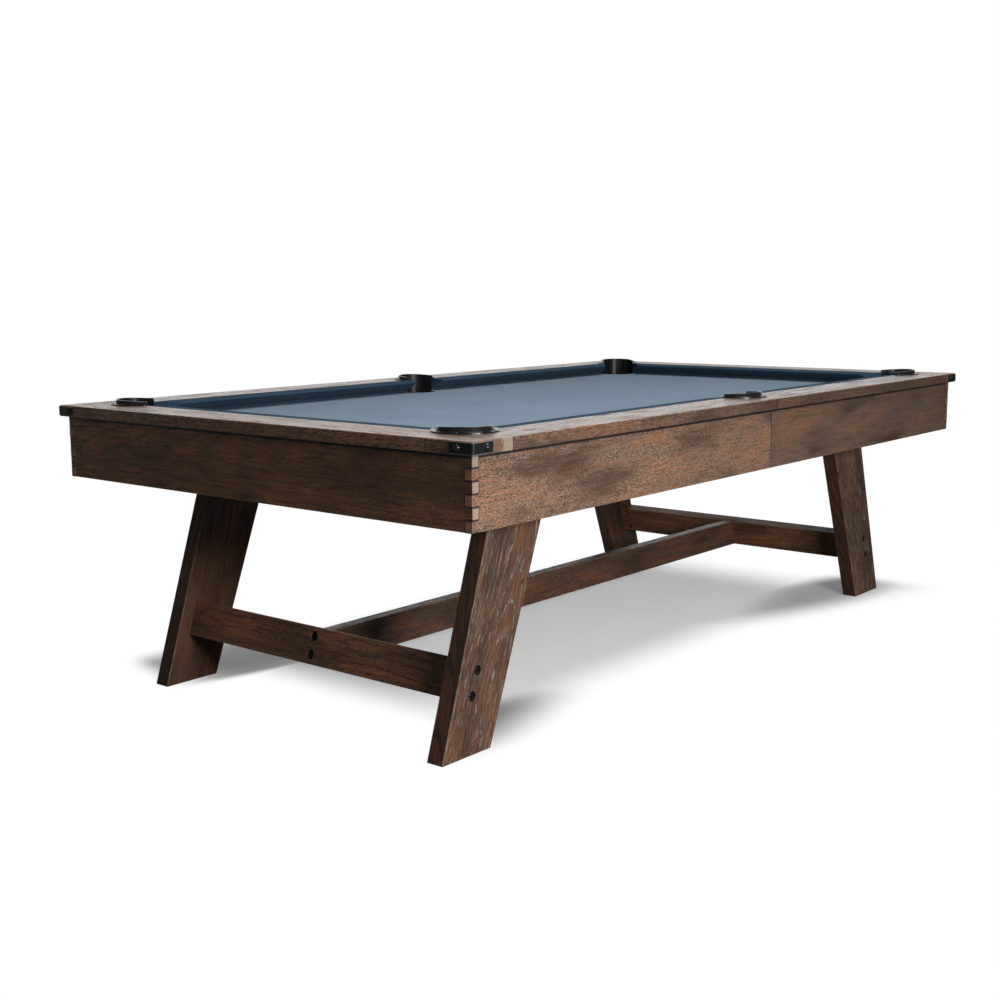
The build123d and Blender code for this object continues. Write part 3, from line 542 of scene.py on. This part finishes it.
def worsted(name, turn, deep, pale, sheen):
    """Blue-grey worsted: a fine twill, a soft nap and a little unevenness in the dye."""
    paint = Paint(name)
    point = paint.place(turn)
    x, y, z = paint.axes(point)
    pitch = 2 * math.pi / TWILL_RIB
    ribs = ((x + y + z) * pitch).math("SINE")
    cross_ribs = ((x - y - z) * (pitch * 1.7)).math("SINE")
    twill = ribs * 0.5 + cross_ribs * 0.25
    nap = paint.noise(paint.stretch(point, (420.0, 900.0, 900.0)), 2.0, 0.6)
    cloud = paint.noise(point, 4.0, 0.6, scale=5.5)
    fleck = paint.noise(point, 2.0, 0.6, scale=240.0)
    tint = cloud.between(0.3, 0.72) * 0.3 + fleck.between(0.3, 0.72) * 0.7
    return paint.surface(
        Base_Color=paint.mix(tint, deep, pale),
        Roughness=0.88 + nap * 0.1,
        Specular_IOR_Level=sheen,
        Sheen_Weight=sheen,
        Sheen_Roughness=0.42,
        Sheen_Tint=(0.86, 0.93, 1.0, 1.0),
        Normal=paint.bump(twill * 0.6 + nap, 0.4, 0.00035),
    )


# One cloth in two dyes: the bed's paler dye is painted light and sheen, the cushions' darker dye painted
# shade
PAINTED_LIGHT_BED_DYE = ((0.112, 0.171, 0.231), (0.177, 0.250, 0.321))
PAINTED_SHADE_CUSHION_DYE = ((0.017, 0.038, 0.062), (0.031, 0.064, 0.099))
BED_SHEEN = 0.12
CUSHION_SHEEN = 0.03
bed_worsted = worsted("worsted_bed", ALONG, *PAINTED_LIGHT_BED_DYE, BED_SHEEN)
cushion_worsteds = {
    "side": worsted("worsted_side", ALONG, *PAINTED_SHADE_CUSHION_DYE, CUSHION_SHEEN),
    "end": worsted("worsted_end", ACROSS, *PAINTED_SHADE_CUSHION_DYE, CUSHION_SHEEN),
}


def new_piece(name, shape, material):
    """Make a bmesh into a piece that rides on the table."""
    mesh = bpy.data.meshes.new(name)
    shape.to_mesh(mesh)
    shape.free()
    piece = bpy.data.objects.new(name, mesh)
    bpy.context.scene.collection.objects.link(piece)
    mesh.materials.append(material)
    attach(piece, "table")
    return piece


def pocket_frames():
    """Plan centre and outward direction of every pocket."""
    spots = []
    for _, sx, sy in CORNERS:
        centre = Vector((sx * (NOSE_X + CORNER_SHIFT), sy * (NOSE_Y + CORNER_SHIFT), BED))
        spots.append((centre, Vector((sx, sy, 0)).normalized()))
    for sy in SIDES.values():
        spots.append((Vector((0, sy * (NOSE_Y + SIDE_SETBACK), BED)), Vector((0, sy, 0))))
    return spots


def make_bed_cloth():
    """The bed's sheet, stretched over the slates and drawn down at the pocket mouths."""
    low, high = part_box("bed_cloth")
    shape = bmesh.new()
    plan = ((low.x, low.y), (high.x, low.y), (high.x, high.y), (low.x, high.y))
    corners = [shape.verts.new((x, y, BED)) for x, y in plan]
    outline = [shape.edges.new((corners[i - 1], corners[i])) for i in range(4)]
    rims = []
    for centre, out in pocket_frames():
        place = Matrix.Translation(centre)
        made = bmesh.ops.create_circle(shape, segments=RIM_SEGMENTS, radius=POCKET_HOLE, matrix=place)
        ring = made["verts"]
        rims.append((centre, out, list({edge for vert in ring for edge in vert.link_edges})))
    edges = outline + [edge for rim in rims for edge in rim[2]]
    bmesh.ops.triangle_fill(shape, use_beauty=True, use_dissolve=False, edges=edges, normal=(0, 0, 1))
    for centre, out, ring in rims:
        inner = [e for e in ring if all((v.co - centre).dot(out) < INNER_SIDE for v in e.verts)]
        for radius, drop in POCKET_ROLL:
            grown = bmesh.ops.extrude_edge_only(shape, edges=inner)["geom"]
            inner = [e for e in grown if isinstance(e, bmesh.types.BMEdge)]
            verts = [v for v in grown if isinstance(v, bmesh.types.BMVert)]
            inner = [e for e in inner if all(v in verts for v in e.verts)]
            for vert in verts:
                away = (vert.co - centre).to_2d().normalized() * radius
                vert.co = (centre.x + away.x, centre.y + away.y, BED - drop)
    bmesh.ops.recalc_face_normals(shape, faces=shape.faces)
    if sum(face.normal.z * face.calc_area() for face in shape.faces) < 0:
        bmesh.ops.reverse_faces(shape, faces=shape.faces)
    flat_area = sum(face.calc_area() for face in shape.faces)
    piece = new_piece("bed_cloth_sheet", shape, bed_worsted)
    thickness = piece.modifiers.new("thickness", "SOLIDIFY")
    thickness.thickness = CLOTH_THICKNESS
    thickness.offset = -1.0
    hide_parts("bed_cloth")


# Where a cushion ends, by the depth behind its nose
CORNER_ARM = 0.028
MOUTH_SLOPE = (CORNER_MOUTH / 2 - POCKET_RADIUS) / (CORNER_SETBACK + CORNER_MOUTH / 2 - CORNER_ARM)
TIP_DEPTH = (POCKET_RADIUS - CORNER_ARM) / math.sqrt(2) + CORNER_SHIFT
ARM_DEPTH = (POCKET_HOLE - CORNER_ARM) / math.sqrt(2) + CORNER_SHIFT
SIDE_ARM_DEPTH = 0.047
SIDE_SLOPE = (SIDE_MOUTH / 2 - POCKET_RADIUS) / SIDE_ARM_DEPTH
TIP_GAP = 0.0003

# Section of a covered cushion: depths behind its nose and heights over the bed
SEAM = 0.0002
NOSE_DEPTH = 0.005
CUSHION_FALL = 0.002
CUSHION_CROWN = 0.0006
TOP_KNOTS = (0.016, 0.032)
NOSE = (
    (NOSE_DEPTH, 0.039), (0.0030, 0.0387), (0.0012, 0.0378), (0.0003, 0.0367), (0.0, 0.0356),
    (0.0003, 0.0342), (0.0011, 0.0330), (0.0025, 0.0320),
)
TOE = 0.007
CLOTH_TOP = 0.0412
RAIL_SEAT = 0.0401


def corner_end(depth):
    """Distance from a corner pocket's centre, along the rail, to the cushion's end."""
    inward = depth - CORNER_SHIFT
    if depth <= TIP_DEPTH:
        reach = math.sqrt(2) * (POCKET_RADIUS - CORNER_ARM * MOUTH_SLOPE)
        return (reach - inward * (1 + MOUTH_SLOPE)) / (1 - MOUTH_SLOPE) + TIP_GAP
    if depth < ARM_DEPTH:
        return math.sqrt(2) * CORNER_ARM + inward + TIP_GAP
    return math.sqrt(2) * POCKET_HOLE - inward + TIP_GAP


def side_end(depth):
    """Distance from a side pocket's centre to the cushion's end."""
    if depth <= SIDE_ARM_DEPTH:
        return SIDE_MOUTH / 2 - depth * SIDE_SLOPE + TIP_GAP
    return POCKET_HOLE + TIP_GAP


def cushion_profile():
    """Depth and height of the covered cushion's section, from its back edge over the nose to the toe."""
    front, back = NOSE_DEPTH, CUSHION_WIDTH - SEAM
    knots = (*TOP_KNOTS, TIP_DEPTH, SIDE_ARM_DEPTH, SIDE_ARM_DEPTH + SEAM)
    top = [(d, RAIL_RISE - CUSHION_FALL * (back - d) / (back - front)) for d in reversed(knots)]
    crown = [(d, z + CUSHION_CROWN * math.sin(math.pi * (d - front) / (back - front))) for d, z in top]
    under_depth, under_height = NOSE[-1]
    slope = (under_height - TOE) / (back - under_depth)
    under = [(d, under_height - (d - under_depth) * slope) for d in TOP_KNOTS]
    tuck = [(CLOTH_EDGE, RAIL_SEAT), (CLOTH_EDGE - 0.0001, 0.0407), (CLOTH_EDGE - 0.0008, 0.0411),
            (ARM_DEPTH, CLOTH_TOP), (back, CLOTH_TOP)]
    skirt = [(TIP_DEPTH, 0.0082), (TIP_DEPTH, 0.0004), (back, 0.0004), (back, RAIL_SEAT)]
    return tuck + crown + list(NOSE) + under + skirt


END_ROUND = 0.0016
END_TURNS = [math.radians(turn) for turn in (0, 30, 60, 90)]
SECTION_MIDDLE = Vector((0.030, 0.030))
CREASE = math.radians(38)


def make_cushion(name, start, stop, place, material):
    """One cushion in its cloth: its section drawn from one end to the other and rounded at the ends.

    start and stop give the end's place along the rail at a depth, place turns both into a point."""
    shape = bmesh.new()
    profile = cushion_profile()
    knot = shape.verts.layers.int.new("knot")

    def spot(index, end, turn):
        section = Vector(profile[index])
        inset = END_ROUND * (1 - math.sin(turn))
        drawn = section + (SECTION_MIDDLE - section).normalized() * inset
        inward = END_ROUND * (1 - math.cos(turn)) * (1 if end is start else -1)
        return place(end(profile[index][0]) + inward, drawn.x, BED + drawn.y)

    rings = [(start, turn) for turn in END_TURNS] + [(stop, turn) for turn in reversed(END_TURNS)]
    cap = shape.faces.new([shape.verts.new(spot(i, *rings[0])) for i in range(len(profile))])
    for index, vert in enumerate(cap.verts):
        vert[knot] = index
    for ring in rings[1:]:
        grown = bmesh.ops.extrude_face_region(shape, geom=[cap])["geom"]
        cap = [item for item in grown if isinstance(item, bmesh.types.BMFace)][0]
        for vert in cap.verts:
            vert.co = spot(vert[knot], *ring)
    bmesh.ops.recalc_face_normals(shape, faces=shape.faces)
    for face in shape.faces:
        face.smooth = True
    piece = new_piece(f"covered_cushion_{name}", shape, material)
    crease = piece.modifiers.new("shading", "EDGE_SPLIT")
    crease.split_angle = CREASE
    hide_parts(f"cushion_{name}", "rail_cloths")


def side_place(sx, sy):
    """Point of a side cushion from its place along the rail, depth and height."""
    return lambda s, d, z: Vector((sx * s, sy * (NOSE_Y + d), z))


def end_place(sx):
    """Point of an end cushion from its place along the rail, depth and height."""
    return lambda s, d, z: Vector((sx * (NOSE_X + d), s, z))


make_bed_cloth()
CORNER_X = NOSE_X + CORNER_SHIFT
CORNER_Y = NOSE_Y + CORNER_SHIFT
for name, sx, sy in CORNERS:
    make_cushion(
        name, side_end, lambda d: CORNER_X - corner_end(d), side_place(sx, sy), cushion_worsteds["side"]
    )
for name, sx in ENDS.items():
    make_cushion(
        name, lambda d: corner_end(d) - CORNER_Y, lambda d: CORNER_Y - corner_end(d), end_place(sx),
        cushion_worsteds["end"],
    )


# Studio

FLOOR_REACH = 30.0
FLOOR_WHITE = (0.90, 0.90, 0.90)
FLOOR_BOUNCE = (0.16, 0.16, 0.16)
FLOOR_GLOW = (0.28, 0.28, 0.28)
WHITE = (1.0, 1.0, 1.0)
BLACK = (0.0, 0.0, 0.0)
# Drawn edges of the area that shows the table's shadow, beyond which the floor is painted white over it:
# the side that it faces, its place, how its ends run out, by the direction along it, the start and the
# slope, and how softly it fades
LEFT_EDGE = (1, -0.86, ((-1, 0.30, 1.0), (1, 0.38, 4.0)), (-0.12, 0.13))
RIGHT_EDGE = (-1, 1.06, ((-1, 0.25, 2.5),), (-0.22, 0.20))
FRONT_EDGE = (1, -0.375, ((1, 0.33, 0.35), (-1, 0.42, 0.275)), (-0.11, 0.13))
REAR_EDGE = (-1, 0.56, ((-1, 0.65, 2.0), (-1, 0.93, -4.6)), (-0.12, 0.12))
LEFT_LIMIT = (-1.20, -1.02)
RIGHT_LIMIT = (1.38, 1.22)
REAR_LIMIT = (0.85, 0.70)
# Painted shadow on the floor beside three feet: its middle, its two reaches and its depth
FOOT_SHADOWS = (
    (-0.88, -0.42, 0.42, 0.17, 0.75), (0.95, -0.43, 0.55, 0.20, 0.42), (-0.80, 0.56, 0.32, 0.22, 0.40)
)
WORLD_LIGHT = 0.085
BACKDROP = (0.77, 0.64)
FLOOR_BEHIND = ((0.8, 1.6), (0.2, 1.0))
SKY_BEHIND = (0.55, 0.90)
LAMPS = (
    ("key", (-1.6, -3.5, 1.36), (-0.5, 0.0, 0.6), (1.3, 0.6), 122.0),
    ("top", (-0.40, -1.4, 3.9), (0.05, 0.0, 0.6), (2.2, 1.8), 118.0),
    ("left", (-4.4, -0.2, 1.0), (-1.3, 0.0, 0.55), (1.6, 1.0), 2.6),
)
CAMERA_LENS = 48.9226
CAMERA_SENSOR = 36.0
CAMERA_PLACE = (-3.38161, -2.52218, 1.09148)
CAMERA_LOOK = (0.762968, 0.627025, -0.157224)
CAMERA_RIGHT = (0.634135, -0.773197, -0.006296)


def light_rays(paint):
    """Masks of the rays from the camera, and of the rays that mirror or pass through."""
    path = paint.node("ShaderNodeLightPath").socket.node
    seen, glossy, passing = (
        Wire(paint, path.outputs[f"Is {ray} Ray"]) for ray in ("Camera", "Glossy", "Transmission")
    )
    return seen, glossy.math("MAXIMUM", passing)


def shadow_area(across, along, edge):
    """1 inside one edge of the shadow's area and 0 outside it."""
    facing, start, flares, fade = edge
    inside = (across - start) * facing
    for direction, flare_start, slope in flares:
        inside = inside + (along * direction - flare_start).math("MAXIMUM", 0.0) * slope
    return inside.between(*fade)


def studio_floor():
    """White floor that keeps the table's shadow inside drawn edges, is painted white over it beyond them,
    has painted shadow beside three feet, and runs out into the white backdrop.
    """
    shape = bmesh.new()
    bmesh.ops.create_grid(shape, x_segments=1, y_segments=1, size=FLOOR_REACH)
    mesh = bpy.data.meshes.new("floor")
    shape.to_mesh(mesh)
    shape.free()
    floor = bpy.data.objects.new("floor", mesh)
    bpy.context.scene.collection.objects.link(floor)
    paint = Paint("white_floor")
    seen, mirrored = light_rays(paint)
    x, y, _ = paint.axes(paint.place())
    # The table's shadow shows only inside drawn edges; beyond them the floor is painted white over it
    inside = shadow_area(x, y, LEFT_EDGE) * shadow_area(x, y, RIGHT_EDGE)
    inside = inside * shadow_area(y, x, FRONT_EDGE) * shadow_area(y, x, REAR_EDGE)
    inside = inside * x.between(*LEFT_LIMIT) * x.between(*RIGHT_LIMIT) * y.between(*REAR_LIMIT)
    # Painted shadow beside three feet, darkening both the white floor and its glow
    feet = 0.0
    for foot_x, foot_y, reach_x, reach_y, depth in FOOT_SHADOWS:
        off_x = (x - foot_x) * (1 / reach_x)
        off_y = (y - foot_y) * (1 / reach_y)
        feet = ((off_x * off_x + off_y * off_y).between(1.0, 0.0) * depth).math("MAXIMUM", feet)
    behind = (x * BACKDROP[0] + y * BACKDROP[1]).between(*FLOOR_BEHIND[0]) * y.between(*FLOOR_BEHIND[1])
    seen = seen.math("MAXIMUM", mirrored * behind)
    bounce = paint.node("ShaderNodeBsdfDiffuse", {}, {"Color": FLOOR_BOUNCE})
    white = paint.node("ShaderNodeBsdfDiffuse", {}, {"Color": paint.mix(feet, FLOOR_WHITE, BLACK)})
    glow = paint.node("ShaderNodeEmission", {}, {"Color": paint.mix(feet, FLOOR_GLOW, BLACK)})
    near = paint.node("ShaderNodeAddShader", {}, {0: white, 1: glow})
    far = paint.node("ShaderNodeEmission", {}, {"Color": WHITE})
    shown = paint.node("ShaderNodeMixShader", {}, {0: 1 - inside, 1: near, 2: far})
    mixed = paint.node("ShaderNodeMixShader", {}, {0: seen, 1: bounce, 2: shown})
    paint.plug(paint.tree.nodes["Material Output"].inputs["Surface"], mixed)
    mesh.materials.append(paint.material)


def studio_world():
    """White backdrop to the eye, and behind the table in reflections, with a dim even light."""
    world = bpy.data.worlds.new("studio")
    bpy.context.scene.world = world
    world.use_nodes = True
    paint = Paint("studio", world.node_tree)
    seen, mirrored = light_rays(paint)
    x, y, _ = paint.axes(paint.node("ShaderNodeTexCoord", output="Generated"))
    behind = (x * BACKDROP[0] + y * BACKDROP[1]).between(*SKY_BEHIND)
    shine = paint.mix(seen.math("MAXIMUM", mirrored * behind), (WORLD_LIGHT,) * 3, WHITE)
    light = paint.node("ShaderNodeBackground", {}, {"Color": shine})
    paint.plug(paint.tree.nodes["World Output"].inputs["Surface"], light)


def softbox(name, place, aim, size, power):
    """A rectangular lamp at a place, turned to its aim."""
    light = bpy.data.lights.new(name, "AREA")
    light.shape = "RECTANGLE"
    light.size, light.size_y = size
    light.energy = power
    box = bpy.data.objects.new(name, light)
    box.location = place
    box.rotation_euler = (Vector(aim) - Vector(place)).to_track_quat("-Z", "Y").to_euler()
    box.visible_camera = False
    bpy.context.scene.collection.objects.link(box)


def photo_camera():
    """Camera at the photograph's place, fitted to the table's corners."""
    data = bpy.data.cameras.new("camera")
    data.lens = CAMERA_LENS
    data.sensor_width = CAMERA_SENSOR
    camera = bpy.data.objects.new("camera", data)
    look = Vector(CAMERA_LOOK).normalized()
    right = Vector(CAMERA_RIGHT).normalized()
    up = right.cross(look)
    turn = Matrix((right, up, -look)).transposed()
    camera.matrix_world = Matrix.Translation(CAMERA_PLACE) @ turn.to_4x4()
    bpy.context.scene.collection.objects.link(camera)
    bpy.context.scene.camera = camera


studio_floor()
studio_world()
for lamp in LAMPS:
    softbox(*lamp)
photo_camera()
bpy.context.scene.view_settings.view_transform = "Standard"
